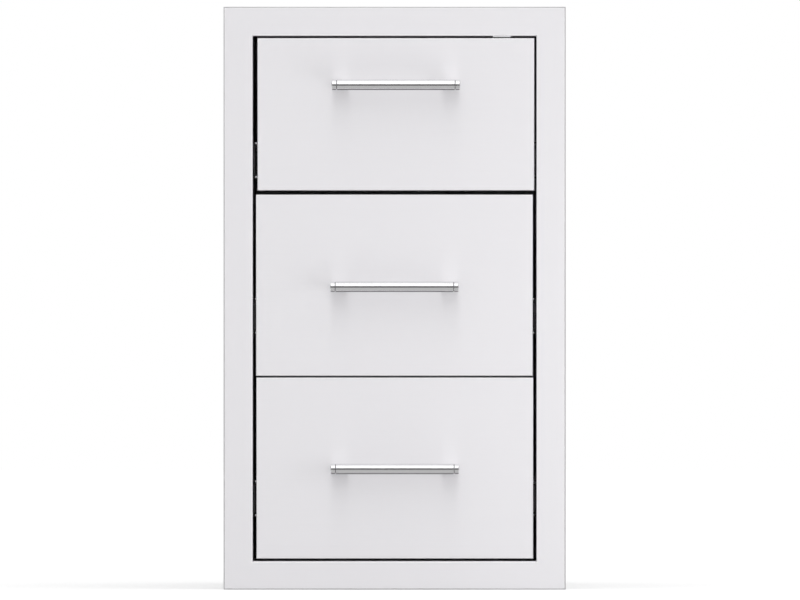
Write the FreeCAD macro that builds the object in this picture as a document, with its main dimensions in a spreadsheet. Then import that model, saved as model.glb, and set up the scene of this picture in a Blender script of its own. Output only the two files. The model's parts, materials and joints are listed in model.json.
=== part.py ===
import FreeCAD, Part
import Sketcher
import math
import os
import re

# Outdoor kitchen drawer unit: a trim frame and a closed cabinet that stand in an island's cut-out,
# with three drawers on telescopic ball slides. Millimetres. X runs across the fronts, Y runs from
# the fronts into the island, Z is up. The origin is where the island's face meets the sill of the
# cut-out, half way across: Y = 0 is the back of the trim frame, Z = 0 the underside of the cabinet.

sizes = {
    # Drawer fronts and the gaps round them
    "front_width": 350,
    "front_depth": 20,
    "front_gauge": 1.2,
    "front_bend": 1.6,
    "side_gap": 4,
    "gap_over_top": 2.6,
    "gap_under_top": 4.8,
    "gap_under_middle": 1.7,
    "gap_under_bottom": 3,
    "top_front_height": 192.8,
    "middle_front_height": 229.3,
    "bottom_front_height": 229,
    "top_front_shift": 1.6,
    "middle_front_shift": -0.2,
    "bottom_front_shift": 0.3,
    "liner_gauge": 1,
    "liner_flange": 10,
    "liner_play": 0.1,
    # Trim frame
    "side_border": 37,
    "upper_border": 36.8,
    "lower_border": 36,
    "frame_raise": 12.5,
    "frame_gauge": 1.2,
    "frame_bend": 2,
    "frame_lip": 9,
    "frame_return": 18,
    "corner_relief": 1.3,
    # Cabinet behind the frame
    "panel_gauge": 1,
    "panel_bend": 2,
    "panel_lap": 8,
    "panel_flange": 14,
    "cabinet_depth": 494,
    "wall_hole_radius": 2.25,
    "wall_hole_inset": 42,
    "wall_hole_low": 200,
    "wall_hole_pitch": 400,
    # Pad in the gap over the top drawer
    "pad_width": 22.7,
    "pad_depth": 16,
    "pad_thickness": 1.4,
    "pad_offset": 135.5,
    # Slides
    "slide_width": 12.7,
    "rail_height": 45.5,
    "rail_gauge": 1.2,
    "rail_length": 450,
    "rail_setback": 1,
    "ball_radius": 1.6,
    "race_play": 0.05,
    "race_tail": 0.5,
    "outer_ball_reach": 5.2,
    "inner_ball_reach": 8,
    "cage_gauge": 0.6,
    "cage_play": 0.3,
    "cage_length": 216,
    "buffer_length": 6,
    "buffer_reach": 5.5,
    "buffer_height": 18,
    "stop_play": 0.3,
    "hook_length": 12,
    "hook_drop": 7,
    "hook_inset": 60,
    "hook_play": 0.2,
    "top_rail_height": 38.7,
    "middle_rail_height": 75.8,
    "bottom_rail_height": 75.8,
    # Drawer trays
    "tray_gauge": 1,
    "tray_bend": 2,
    "tray_length": 450,
    "tray_rise": 12,
    "tray_rim": 10,
    "top_tray_height": 125,
    "middle_tray_height": 160,
    "bottom_tray_height": 160,
    "back_flange": 14,
    "back_play": 0.1,
    "back_drop": 4,
    # Handles
    "bar_length": 162.4,
    "bar_radius": 6.7,
    "bar_reach": 38,
    "cap_length": 6.5,
    "cap_radius": 6.5,
    "cap_edge": 1,
    "post_width": 21.5,
    "post_foot": 12,
    "post_neck": 9,
    "post_corner": 2.2,
    "post_inset": 1,
    "saddle_play": 0.1,
    "top_handle_drop": 59.5,
    "middle_handle_drop": 116.5,
    "bottom_handle_drop": 115.2,
    # Handle screws
    "screw_radius": 2,
    "screw_play": 0.05,
    "screw_head_radius": 4.2,
    "screw_head_height": 2.8,
    "screw_length": 12,
}

doc = FreeCAD.newDocument("DrawerUnit")
sheet = doc.addObject("Spreadsheet::Sheet", "Sizes")
for row, (alias, number) in enumerate(sizes.items(), start=1):
    sheet.set(f"A{row}", alias)
    sheet.set(f"B{row}", str(number))
    sheet.setAlias(f"B{row}", alias)
doc.recompute()

subparts = []
both_sides = (("left", -1), ("right", 1))
near_enough = 1e-4
least_cut = 1e-6


# Names of sizes in a formula, written so that a feature can be bound to them.
def bound(formula):
    return re.sub(r"[a-z]\w*", lambda word: "Sizes." + word[0] if word[0] in sizes else word[0], formula)


def value(formula):
    return float(sheet.evalExpression(bound(formula)))


# The planes that a profile can lie in: front (X across, Z up), side (Y across, Z up) and
# level (X across, Y up), each with its role in a body's origin and the way its normal points.
planes = {"front": ("XZ_Plane", -1), "side": ("YZ_Plane", 1), "level": ("XY_Plane", 1)}


def new_body(node):
    body = doc.addObject("PartDesign::Body", node)
    body.Label = node
    subparts.append(body)
    return body


def new_sketch(body, plane, at):
    role, facing = planes[plane]
    sketch = body.newObject("Sketcher::SketchObject", body.Name + "Profile")
    origin_plane = next(feature for feature in body.Origin.OriginFeatures if feature.Role == role)
    sketch.AttachmentSupport = [(origin_plane, "")]
    sketch.MapMode = "FlatFace"
    sketch.setExpression("AttachmentOffset.Base.z", bound(f"{facing} * ({at})"))
    sketch.addProperty("App::PropertyInteger", "Facing")
    sketch.Facing = facing
    return sketch


def fix_point(sketch, geometry, end, across, up):
    for kind, formula in (("DistanceX", across), ("DistanceY", up)):
        index = sketch.addConstraint(Sketcher.Constraint(kind, -1, 1, geometry, end, value(formula)))
        sketch.setExpression(f"Constraints[{index}]", bound(formula))


def toward(start, end):
    length = math.dist(start, end)
    return ((end[0] - start[0]) / length, (end[1] - start[1]) / length)


def point_at(spot):
    return FreeCAD.Vector(value(spot[0]), value(spot[1]), 0)


def stepped(formula, direction, distance):
    return f"{formula} + ({round(direction)}) * ({distance})"


# A closed outline through square corners. A corner may have a radius, and then an arc takes its place.
def add_outline(sketch, corners, rounds=None):
    rounds = rounds or {}
    count = len(corners)
    spots = [(value(across), value(up)) for across, up in corners]
    ends = []
    for index, (across, up) in enumerate(corners):
        radius = rounds.get(index, "0")
        back = toward(spots[index], spots[index - 1])
        ahead = toward(spots[index], spots[(index + 1) % count])
        arrive = (stepped(across, back[0], radius), stepped(up, back[1], radius))
        leave = (stepped(across, ahead[0], radius), stepped(up, ahead[1], radius))
        centre = (stepped(arrive[0], ahead[0], radius), stepped(arrive[1], ahead[1], radius))
        turns_left = ahead[0] * back[1] - ahead[1] * back[0] > 0
        ends.append((arrive, leave, centre, turns_left))
    lines = []
    for index, (arrive, leave, centre, turns_left) in enumerate(ends):
        following = ends[(index + 1) % count][0]
        line = sketch.addGeometry(Part.LineSegment(point_at(leave), point_at(following)), False)
        fix_point(sketch, line, 1, *leave)
        lines.append(line)
    for index, (arrive, leave, centre, turns_left) in enumerate(ends):
        before, after = lines[index - 1], lines[index]
        if index not in rounds:
            sketch.addConstraint(Sketcher.Constraint("Coincident", before, 2, after, 1))
            continue
        fix_point(sketch, before, 2, *arrive)
        radius = rounds[index]
        first, last = (arrive, leave) if turns_left else (leave, arrive)
        middle = point_at(centre)
        start, finish = point_at(first) - middle, point_at(last) - middle
        turn = math.atan2(start.y, start.x)
        circle = Part.Circle(middle, FreeCAD.Vector(0, 0, 1), value(radius))
        arc = sketch.addGeometry(Part.ArcOfCircle(circle, turn, turn + start.getAngle(finish)), False)
        joints = ((1, before, 2), (2, after, 1)) if turns_left else ((1, after, 1), (2, before, 2))
        for end, line, line_end in joints:
            sketch.addConstraint(Sketcher.Constraint("Coincident", arc, end, line, line_end))
        limit = sketch.addConstraint(Sketcher.Constraint("Radius", arc, value(radius)))
        sketch.setExpression(f"Constraints[{limit}]", bound(radius))


def add_circles(sketch, centres, radius):
    for across, up in centres:
        centre = FreeCAD.Vector(value(across), value(up), 0)
        circle = sketch.addGeometry(Part.Circle(centre, FreeCAD.Vector(0, 0, 1), value(radius)), False)
        fix_point(sketch, circle, 3, across, up)
        index = sketch.addConstraint(Sketcher.Constraint("Radius", circle, value(radius)))
        sketch.setExpression(f"Constraints[{index}]", bound(radius))


def box_corners(low_across, high_across, low_up, high_up):
    return [(low_across, low_up), (high_across, low_up), (high_across, high_up), (low_across, high_up)]


def settle(feature):
    doc.recompute()
    if "Invalid" in feature.State or "Error" in feature.State:
        raise RuntimeError(f"{feature.Name}: {feature.getStatusString()}")


def pad(body, sketch, length, toward_plus=True):
    feature = body.newObject("PartDesign::Pad", body.Name + "Pad")
    feature.Profile = sketch
    feature.setExpression("Length", bound(length))
    feature.Reversed = toward_plus != (sketch.Facing > 0)
    settle(feature)


def pocket(body, sketch, length, toward_plus=True):
    before = body.Shape.Volume
    feature = body.newObject("PartDesign::Pocket", body.Name + "Pocket")
    feature.Profile = sketch
    feature.setExpression("Length", bound(length))
    feature.Reversed = toward_plus == (sketch.Facing > 0)
    settle(feature)
    if not body.Shape.Volume < before - least_cut:
        raise RuntimeError(f"{feature.Name} cut nothing from {body.Label}")


def dress_edges(body, kind, size, formula, chosen):
    base = body.Tip
    names = [f"Edge{index}" for index, edge in enumerate(base.Shape.Edges, start=1) if chosen(edge.BoundBox)]
    if not names:
        raise RuntimeError(f"no edge to dress on {body.Label}")
    feature = body.newObject(f"PartDesign::{kind}", body.Name + kind)
    feature.Base = (base, names)
    feature.setExpression(size, bound(formula))
    settle(feature)


def round_edges(body, radius, chosen):
    dress_edges(body, "Fillet", "Radius", radius, chosen)


def bevel_edges(body, width, chosen):
    dress_edges(body, "Chamfer", "Size", width, chosen)


def hollow(body, gauge, open_face):
    base = body.Tip
    names = []
    for index, face in enumerate(base.Shape.Faces, start=1):
        if open_face(face.BoundBox):
            names.append(f"Face{index}")
    feature = body.newObject("PartDesign::Thickness", body.Name + "Wall")
    feature.Base = (base, names)
    feature.Reversed = True
    feature.setExpression("Value", bound(gauge))
    settle(feature)


def flat_at(low, high, level):
    return abs(low - level) < near_enough and abs(high - level) < near_enough


# Heights and widths that several pieces share

opening_half = "(front_width / 2 + side_gap)"
opening_low = "(panel_gauge + frame_gauge)"
bottom_low = f"({opening_low} + gap_under_bottom)"
middle_low = f"({bottom_low} + bottom_front_height + gap_under_middle)"
top_low = f"({middle_low} + middle_front_height + gap_under_top)"
opening_high = f"({top_low} + top_front_height + gap_over_top)"
front_low = {"top": top_low, "middle": middle_low, "bottom": bottom_low}

frame_half = f"({opening_half} + side_border)"
frame_low = f"({opening_low} - lower_border)"
frame_high = f"({opening_high} + upper_border)"

wall_inside = f"({opening_half} + frame_gauge)"
roof_inside = f"({opening_high} + frame_gauge)"
tray_half = f"({wall_inside} - slide_width)"
front_back = "(front_depth - frame_raise)"
rail_start = "(frame_return + rail_setback)"
moving_rail_length = "(rail_length - buffer_length - stop_play)"
drawers = ("top", "middle", "bottom")


# Trim frame: a channel whose outer edge turns back to the island's face and in to a lip, and whose
# inner edge turns back through the cut-out as a return that the cabinet panels lap

def make_face_frame():
    body = new_body("face_frame")
    block = new_sketch(body, "front", "0")
    add_outline(block, box_corners(f"-{frame_half}", frame_half, frame_low, frame_high))
    add_outline(block, box_corners(f"-{opening_half}", opening_half, opening_low, opening_high))
    pad(body, block, "frame_raise", toward_plus=False)
    channel = new_sketch(body, "front", "0")
    inside = [f"-({frame_half} - frame_gauge)", f"{frame_half} - frame_gauge"]
    inside += [f"{frame_low} + frame_gauge", f"{frame_high} - frame_gauge"]
    around = [f"-{wall_inside}", wall_inside, f"{opening_low} - frame_gauge", roof_inside]
    add_outline(channel, box_corners(*inside))
    add_outline(channel, box_corners(*around))
    pocket(body, channel, "frame_raise - frame_gauge", toward_plus=False)
    sleeve = new_sketch(body, "front", "0")
    add_outline(sleeve, box_corners(*around))
    add_outline(sleeve, box_corners(f"-{opening_half}", opening_half, opening_low, opening_high))
    pad(body, sleeve, "frame_return")
    lip = new_sketch(body, "front", "0")
    add_outline(lip, box_corners(*inside))
    lip_inside = [f"-({frame_half} - frame_gauge - frame_lip)", f"{frame_half} - frame_gauge - frame_lip"]
    lip_inside += [f"{frame_low} + frame_gauge + frame_lip", f"{frame_high} - frame_gauge - frame_lip"]
    add_outline(lip, box_corners(*lip_inside))
    pad(body, lip, "frame_gauge", toward_plus=False)

    front = -value("frame_raise")
    round_edges(body, "frame_bend", lambda box: flat_at(box.YMin, box.YMax, front))
    reliefs = new_sketch(body, "front", "-frame_raise")
    corners = [(f"{sign} * {opening_half}", height)
               for side, sign in both_sides for height in (opening_low, opening_high)]
    add_circles(reliefs, corners, "corner_relief")
    pocket(body, reliefs, "frame_bend + frame_gauge")


# Cabinet side panel: lapped on the frame's return, turned in at the back, with slots that take the
# hooks of the outer rails and holes for the screws that hold the unit in the island

def make_side_panel(side, sign):
    body = new_body(f"{side}_side_panel")
    outside = f"{wall_inside} + panel_gauge"
    section = new_sketch(body, "level", "panel_gauge")
    corners = [
        (f"{sign} * {wall_inside}", "-panel_lap"),
        (f"{sign} * ({outside})", "-panel_lap"),
        (f"{sign} * ({outside})", "cabinet_depth"),
        (f"{sign} * ({outside} - panel_flange)", "cabinet_depth"),
        (f"{sign} * ({outside} - panel_flange)", "cabinet_depth - panel_gauge"),
        (f"{sign} * {wall_inside}", "cabinet_depth - panel_gauge"),
    ]
    add_outline(section, corners, {2: "panel_bend", 5: "panel_bend - panel_gauge"})
    pad(body, section, f"{roof_inside} - panel_gauge")
    cuts = new_sketch(body, "side", f"{sign} * {wall_inside}")
    for drawer in drawers:
        for place in hook_places():
            low = hook_height(drawer)
            add_outline(cuts, box_corners(f"{place} - hook_play", f"{place} + hook_length + hook_play",
                                          low, f"{low} + hook_drop + rail_gauge + hook_play"))
    centres = [("wall_hole_inset", f"wall_hole_low + {step} * wall_hole_pitch") for step in (0, 1)]
    add_circles(cuts, centres, "wall_hole_radius")
    pocket(body, cuts, "panel_gauge", toward_plus=sign > 0)


def hook_places():
    return f"({rail_start} + hook_inset)", f"({rail_start} + rail_length - hook_inset - hook_length)"


def rail_centre(drawer):
    return f"({front_low[drawer]} + {drawer}_rail_height)"


def hook_height(drawer):
    return f"({rail_centre(drawer)} + hook_drop / 2)"


# Top and bottom panels: flat between the sides, with flanges that lap them outside

def make_level_panel(node, face, sign):
    body = new_body(node)
    outside = f"({wall_inside} + 2 * panel_gauge)"
    inside = f"({wall_inside} + panel_gauge)"
    section = new_sketch(body, "front", "-panel_lap")
    edge = f"{face} - {sign} * panel_flange"
    skin = f"{face} + {sign} * panel_gauge"
    corners = [
        (f"-{outside}", skin), (outside, skin), (outside, edge),
        (inside, edge), (inside, face), (f"-{inside}", face),
        (f"-{inside}", edge), (f"-{outside}", edge),
    ]
    add_outline(section, corners, {0: "panel_bend", 1: "panel_bend"})
    pad(body, section, "panel_lap + cabinet_depth + panel_gauge")


def make_back_panel():
    body = new_body("back_panel")
    outline = new_sketch(body, "front", "cabinet_depth")
    reach = f"({wall_inside} + panel_gauge)"
    add_outline(outline, box_corners(f"-{reach}", reach, "panel_gauge", roof_inside))
    pad(body, outline, "panel_gauge")


def make_gap_pad():
    body = new_body("gap_pad")
    outline = new_sketch(body, "level", opening_high)
    add_outline(outline, box_corners("pad_offset - pad_width / 2", "pad_offset + pad_width / 2",
                                     "-frame_raise + frame_bend", "-frame_raise + frame_bend + pad_depth"))
    pad(body, outline, "pad_thickness", toward_plus=False)


# Slide sections. Reach is counted from the cabinet wall, height from the middle of the rail. A hook
# at the edge of a rail curls round the balls with a little play.

race = "(ball_radius + race_play)"
outer_half = "(rail_height / 2)"
outer_ball_height = f"({outer_half} - rail_gauge - {race})"
middle_half = f"({outer_ball_height} - {race})"
inner_ball_height = f"({middle_half} - rail_gauge - {race})"
inner_half = f"({inner_ball_height} - {race})"
outer_cage_web = "(rail_gauge + cage_play)"
middle_web = f"({outer_cage_web} + cage_gauge + cage_play)"
inner_cage_web = f"({middle_web} + rail_gauge + cage_play)"
inner_edge = f"({inner_cage_web} + cage_gauge + cage_play)"


def add_rail_section(body, drawer, sign, start, half, web, ball_reach):
    section = new_sketch(body, "front", start)
    tip = f"({ball_reach} + {race} + rail_gauge)"
    ball_height = f"({half} - rail_gauge - {race})"
    tail = f"({ball_height} - race_tail)"
    upper = [
        (web, half), (tip, half), (tip, tail), (f"{tip} - rail_gauge", tail),
        (f"{tip} - rail_gauge", f"{half} - rail_gauge"), (f"{web} + rail_gauge", f"{half} - rail_gauge"),
    ]
    lower = [(reach, f"-({height})") for reach, height in reversed(upper)]
    centre = rail_centre(drawer)
    corners = [(f"{sign} * ({wall_inside} - ({reach}))", f"{centre} + {height}")
               for reach, height in upper + lower]
    curl, hollow_curl = f"{race} + rail_gauge", race
    rounds = {1: curl, 4: hollow_curl, 7: hollow_curl, 10: curl}
    add_outline(section, corners, rounds)
    return section


def make_outer_rail(drawer, side, sign):
    body = new_body(f"{drawer}_{side}_outer_rail")
    section = add_rail_section(body, drawer, sign, rail_start, outer_half, "0", "outer_ball_reach")
    pad(body, section, "rail_length")
    low = hook_height(drawer)
    window = new_sketch(body, "side", f"{sign} * {wall_inside}")
    neck = new_sketch(body, "side", f"{sign} * {wall_inside}")
    leg = new_sketch(body, "side", f"{sign} * ({wall_inside} + panel_gauge + hook_play)")
    for place in hook_places():
        ends = (place, f"{place} + hook_length")
        add_outline(window, box_corners(*ends, f"{low} - hook_drop", low))
        add_outline(neck, box_corners(*ends, low, f"{low} + rail_gauge"))
        add_outline(leg, box_corners(*ends, f"{low} - hook_drop", f"{low} + rail_gauge"))
    pocket(body, window, "rail_gauge", toward_plus=sign < 0)
    pad(body, neck, "panel_gauge + hook_play", toward_plus=sign > 0)
    pad(body, leg, "rail_gauge", toward_plus=sign > 0)


def make_middle_rail(drawer, side, sign):
    body = new_body(f"{drawer}_{side}_middle_rail")
    section = add_rail_section(body, drawer, sign, rail_start, middle_half, middle_web, "inner_ball_reach")
    pad(body, section, moving_rail_length)


def make_inner_rail(drawer, side, sign):
    body = new_body(f"{drawer}_{side}_inner_rail")
    section = new_sketch(body, "front", rail_start)
    upper = [("slide_width", inner_half), (inner_edge, inner_half),
             (inner_edge, f"{inner_half} - rail_gauge"),
             ("slide_width - rail_gauge", f"{inner_half} - rail_gauge")]
    lower = [(reach, f"-({height})") for reach, height in reversed(upper)]
    corners = [(f"{sign} * ({wall_inside} - ({reach}))", f"{rail_centre(drawer)} + {height}")
               for reach, height in upper + lower]
    add_outline(section, corners)
    pad(body, section, moving_rail_length)


# Ball cage: a thin channel whose flanges carry the balls between two rails
def make_cages(node, drawer, web, ball_reach, ball_height):
    body = new_body(node)
    start = f"({rail_start} + ({moving_rail_length} - cage_length) / 2)"
    section = new_sketch(body, "front", start)
    tip = f"({ball_reach} + {race} - cage_play)"
    half = f"({ball_height} + cage_gauge / 2)"
    upper = [(web, half), (tip, half), (tip, f"{half} - cage_gauge"),
             (f"{web} + cage_gauge", f"{half} - cage_gauge")]
    lower = [(reach, f"-({height})") for reach, height in reversed(upper)]
    for side, sign in both_sides:
        corners = [(f"{sign} * ({wall_inside} - ({reach}))", f"{rail_centre(drawer)} + {height}")
                   for reach, height in upper + lower]
        add_outline(section, corners)
    pad(body, section, "cage_length")


def make_buffers():
    body = new_body("rail_buffers")
    for side, sign in both_sides:
        blocks = new_sketch(body, "side", f"{sign} * ({wall_inside} - rail_gauge)")
        for drawer in drawers:
            centre = rail_centre(drawer)
            rail_end = f"({rail_start} + rail_length)"
            add_outline(blocks, box_corners(f"{rail_end} - buffer_length", rail_end,
                                            f"{centre} - buffer_height / 2", f"{centre} + buffer_height / 2"))
        pad(body, blocks, "buffer_reach", toward_plus=sign < 0)


# Drawer front: a bent outer skin closed by a liner that nests inside its edges

def make_front_pan(drawer):
    body = new_body(f"{drawer}_front_pan")
    low = front_low[drawer]
    face = new_sketch(body, "front", "-frame_raise")
    middle = f"{drawer}_front_shift"
    add_outline(face, box_corners(f"{middle} - front_width / 2", f"{middle} + front_width / 2",
                                  low, f"{low} + {drawer}_front_height"))
    pad(body, face, "front_depth")
    front, back = -value("frame_raise"), value(front_back)
    round_edges(body, "front_bend", lambda box: flat_at(box.YMin, box.YMax, front))
    hollow(body, "front_gauge", lambda box: flat_at(box.YMin, box.YMax, back))
    holes = new_sketch(body, "front", "-frame_raise")
    add_circles(holes, screw_spots(drawer), "screw_radius + screw_play")
    pocket(body, holes, "front_gauge")


def make_front_liner(drawer):
    body = new_body(f"{drawer}_front_liner")
    inset = "(front_gauge + liner_play)"
    low = front_low[drawer]
    middle = f"{drawer}_front_shift"
    face = new_sketch(body, "front", f"{front_back} - liner_flange")
    add_outline(face, box_corners(f"{middle} - front_width / 2 + {inset}",
                                  f"{middle} + front_width / 2 - {inset}",
                                  f"{low} + {inset}", f"{low} + {drawer}_front_height - {inset}"))
    pad(body, face, "liner_flange")
    mouth = value(f"{front_back} - liner_flange")
    hollow(body, "liner_gauge", lambda box: flat_at(box.YMin, box.YMax, mouth))


def tray_low(drawer):
    return f"({front_low[drawer]} + tray_rise)"


def tray_high(drawer):
    return f"({tray_low(drawer)} + {drawer}_tray_height)"


def handle_height(drawer):
    return f"({front_low[drawer]} + {drawer}_front_height - {drawer}_handle_drop)"


post_spread = "(bar_length / 2 - post_inset - post_width / 2)"


def screw_spots(drawer):
    return [(f"{drawer}_front_shift + {sign} * {post_spread}", handle_height(drawer))
            for side, sign in both_sides]


# Drawer tray: bottom, sides and front wall folded from one sheet, with rims turned in at the top

def make_tray(drawer):
    body = new_body(f"{drawer}_tray")
    low, high = tray_low(drawer), tray_high(drawer)
    base = new_sketch(body, "front", front_back)
    add_outline(base, box_corners(f"-{tray_half}", tray_half, low, high))
    pad(body, base, "tray_length")
    floor, rim = value(low), value(high)
    half = value(tray_half)
    round_edges(body, "tray_bend", lambda box: flat_at(box.ZMin, box.ZMax, floor)
                and min(abs(box.XMin - half), abs(box.XMax + half)) < near_enough)
    back = value(f"{front_back} + tray_length")
    hollow(body, "tray_gauge", lambda box: flat_at(box.ZMin, box.ZMax, rim)
           or flat_at(box.YMin, box.YMax, back))
    rims = new_sketch(body, "level", high)
    inner = f"({tray_half} - tray_gauge)"
    lip = f"({inner} - tray_rim)"
    near, far = f"({front_back} + tray_gauge)", f"({front_back} + tray_length)"
    add_outline(rims, [(f"-{inner}", near), (inner, near), (inner, far), (lip, far),
                       (lip, f"{near} + tray_rim"), (f"-{lip}", f"{near} + tray_rim"),
                       (f"-{lip}", far), (f"-{inner}", far)])
    pad(body, rims, "tray_gauge", toward_plus=False)


# Tray back: a wall with flanges that turn forward along the tray's sides
def make_tray_back(drawer):
    body = new_body(f"{drawer}_tray_back")
    half = f"({tray_half} - tray_gauge - back_play)"
    section = new_sketch(body, "level", f"{tray_low(drawer)} + tray_bend")
    far = f"({front_back} + tray_length)"
    near = f"({far} - back_flange)"
    corners = [
        (f"-{half}", far), (half, far), (half, near), (f"{half} - tray_gauge", near),
        (f"{half} - tray_gauge", f"{far} - tray_gauge"), (f"-({half} - tray_gauge)", f"{far} - tray_gauge"),
        (f"-({half} - tray_gauge)", near), (f"-{half}", near),
    ]
    add_outline(section, corners, {0: "tray_bend", 1: "tray_bend"})
    pad(body, section, f"{drawer}_tray_height - tray_bend - back_drop")


# Hexagon-head screws that go from inside the front skin into the handle posts
def make_screws(drawer):
    body = new_body(f"{drawer}_screws")
    seat = "-frame_raise + front_gauge"
    heads = new_sketch(body, "front", seat)
    shanks = new_sketch(body, "front", seat)
    for across, up in screw_spots(drawer):
        add_outline(heads, hexagon(across, up, "screw_head_radius"))
    add_circles(shanks, screw_spots(drawer), "screw_radius")
    pad(body, heads, "screw_head_height")
    pad(body, shanks, "screw_length", toward_plus=False)


def hexagon(across, up, radius):
    turns = [math.radians(60 * corner) for corner in range(6)]
    return [(f"{across} + {math.cos(turn):.6f} * {radius}", f"{up} + {math.sin(turn):.6f} * {radius}")
            for turn in turns]


# Handle: a round bar with an end cap at each end, on two broad posts that narrow towards it

bar_depth = "(-frame_raise - bar_reach)"
bar_end = "(bar_length / 2 - cap_length)"


def make_handle_bar(drawer):
    body = new_body(f"{drawer}_handle_bar")
    end = new_sketch(body, "side", f"{drawer}_front_shift - {bar_end}")
    add_circles(end, [(bar_depth, handle_height(drawer))], "bar_radius")
    pad(body, end, f"2 * {bar_end}")


def make_handle_caps(drawer):
    body = new_body(f"{drawer}_handle_caps")
    for side, sign in both_sides:
        cap = new_sketch(body, "side", f"{drawer}_front_shift + {sign} * {bar_end}")
        add_circles(cap, [(bar_depth, handle_height(drawer))], "cap_radius")
        pad(body, cap, "cap_length", toward_plus=sign > 0)
    shift, reach = value(f"{drawer}_front_shift"), value("bar_length / 2")
    bevel_edges(body, "cap_edge", lambda box: flat_at(box.XMin, box.XMax, shift + reach)
                or flat_at(box.XMin, box.XMax, shift - reach))


# A rectangle with its corners cut off at 45 degrees
def post_section(middle, height, thickness):
    wide, high = "post_width / 2", f"{thickness} / 2"
    corners = []
    for across, up in ((1, -1), (1, 1), (-1, 1), (-1, -1)):
        cut = [(f"{middle} + {across} * ({wide})", f"{height} + {up} * ({high} - post_corner)"),
               (f"{middle} + {across} * ({wide} - post_corner)", f"{height} + {up} * ({high})")]
        corners += cut if across * up > 0 else cut[::-1]
    return corners


def make_handle_posts(drawer):
    body = new_body(f"{drawer}_handle_posts")
    height = handle_height(drawer)
    for side, sign in both_sides:
        middle = f"({drawer}_front_shift + {sign} * {post_spread})"
        outlines = []
        for depth, thickness in (("-frame_raise", "post_foot"), (bar_depth, "post_neck")):
            outline = new_sketch(body, "front", depth)
            add_outline(outline, post_section(middle, height, thickness))
            outlines.append(outline)
        doc.recompute()
        loft = body.newObject("PartDesign::AdditiveLoft", body.Name + "Loft")
        loft.Profile = outlines[0]
        loft.Sections = [outlines[1]]
        loft.Ruled = True
        settle(loft)
    saddle = new_sketch(body, "side", f"{drawer}_front_shift - bar_length / 2")
    add_circles(saddle, [(bar_depth, height)], "bar_radius + saddle_play")
    pocket(body, saddle, "bar_length")
    holes = new_sketch(body, "front", "-frame_raise")
    add_circles(holes, screw_spots(drawer), "screw_radius + screw_play")
    pocket(body, holes, "screw_length", toward_plus=False)


make_face_frame()
for side, sign in both_sides:
    make_side_panel(side, sign)
make_level_panel("top_panel", roof_inside, 1)
make_level_panel("bottom_panel", "panel_gauge", -1)
make_back_panel()
make_gap_pad()
make_buffers()
for drawer in drawers:
    for side, sign in both_sides:
        make_outer_rail(drawer, side, sign)
        make_middle_rail(drawer, side, sign)
        make_inner_rail(drawer, side, sign)
    make_cages(f"{drawer}_outer_cages", drawer, outer_cage_web, "outer_ball_reach", outer_ball_height)
    make_cages(f"{drawer}_inner_cages", drawer, inner_cage_web, "inner_ball_reach", inner_ball_height)
    make_front_pan(drawer)
    make_front_liner(drawer)
    make_tray(drawer)
    make_tray_back(drawer)
    make_screws(drawer)
    make_handle_bar(drawer)
    make_handle_caps(drawer)
    make_handle_posts(drawer)

doc.recompute()
for item in doc.Objects:
    if "Invalid" in item.State or "Error" in item.State:
        raise RuntimeError(f"{item.Name} failed: {item.State}")
for body in subparts:
    if body.Shape.isNull() or not body.Shape.isValid():
        raise RuntimeError(f"{body.Label} has no valid shape")

os.makedirs("parts", exist_ok=True)
for body in subparts:
    body.Shape.exportStep(f"parts/{body.Label}.step")
    print(body.Label, len(body.Shape.Solids), round(body.Shape.Volume))
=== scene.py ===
import json
import math
import bmesh
import bpy
from mathutils import Matrix, Vector


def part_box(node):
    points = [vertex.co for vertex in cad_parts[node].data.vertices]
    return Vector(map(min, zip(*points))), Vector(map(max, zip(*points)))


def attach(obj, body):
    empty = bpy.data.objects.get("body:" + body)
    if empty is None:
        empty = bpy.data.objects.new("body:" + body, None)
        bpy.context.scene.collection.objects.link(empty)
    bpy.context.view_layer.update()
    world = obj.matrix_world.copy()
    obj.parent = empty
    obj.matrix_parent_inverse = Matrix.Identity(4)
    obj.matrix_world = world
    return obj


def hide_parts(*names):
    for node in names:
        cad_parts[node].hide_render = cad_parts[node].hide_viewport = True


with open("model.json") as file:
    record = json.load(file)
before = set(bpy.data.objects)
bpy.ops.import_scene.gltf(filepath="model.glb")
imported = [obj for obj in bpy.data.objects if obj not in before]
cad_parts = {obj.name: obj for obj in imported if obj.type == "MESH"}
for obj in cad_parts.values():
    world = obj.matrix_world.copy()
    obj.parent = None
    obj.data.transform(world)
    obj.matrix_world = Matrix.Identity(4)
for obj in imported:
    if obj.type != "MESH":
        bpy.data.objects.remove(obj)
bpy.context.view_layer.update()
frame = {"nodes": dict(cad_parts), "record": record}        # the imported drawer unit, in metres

frameLow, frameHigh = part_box("face_frame")
drawers = ("top", "middle", "bottom")
bothSides = {"left": -1, "right": 1}
mm = 0.001
sameSpot = 0.001 * mm    # points nearer than this are one point
trimBorder = frameHigh.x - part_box("right_side_panel")[0].x      # from the outer edge to the opening


# A socket's value, so that shader maths reads as ordinary expressions
class Signal:
    def __init__(self, nodes, socket):
        self.nodes = nodes
        self.socket = socket

    def maths(self, operation, first, second=0.0):
        return self.nodes.add("ShaderNodeMath", {"operation": operation}, {0: first, 1: second})

    def __add__(self, other):
        return self.maths("ADD", self, other)

    def __sub__(self, other):
        return self.maths("SUBTRACT", self, other)

    def __rsub__(self, other):
        return self.maths("SUBTRACT", other, self)

    def __mul__(self, other):
        return self.maths("MULTIPLY", self, other)

    def __gt__(self, other):
        return self.maths("GREATER_THAN", self, other)

    def __abs__(self):
        return self.maths("ABSOLUTE", self)

    def ramp(self, full):        # rises from 0 to 1 as the value goes from 0 to full
        settings = {"operation": "DIVIDE", "use_clamp": True}
        return self.nodes.add("ShaderNodeMath", settings, {0: self, 1: full})

    __radd__ = __add__
    __rmul__ = __mul__


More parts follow.
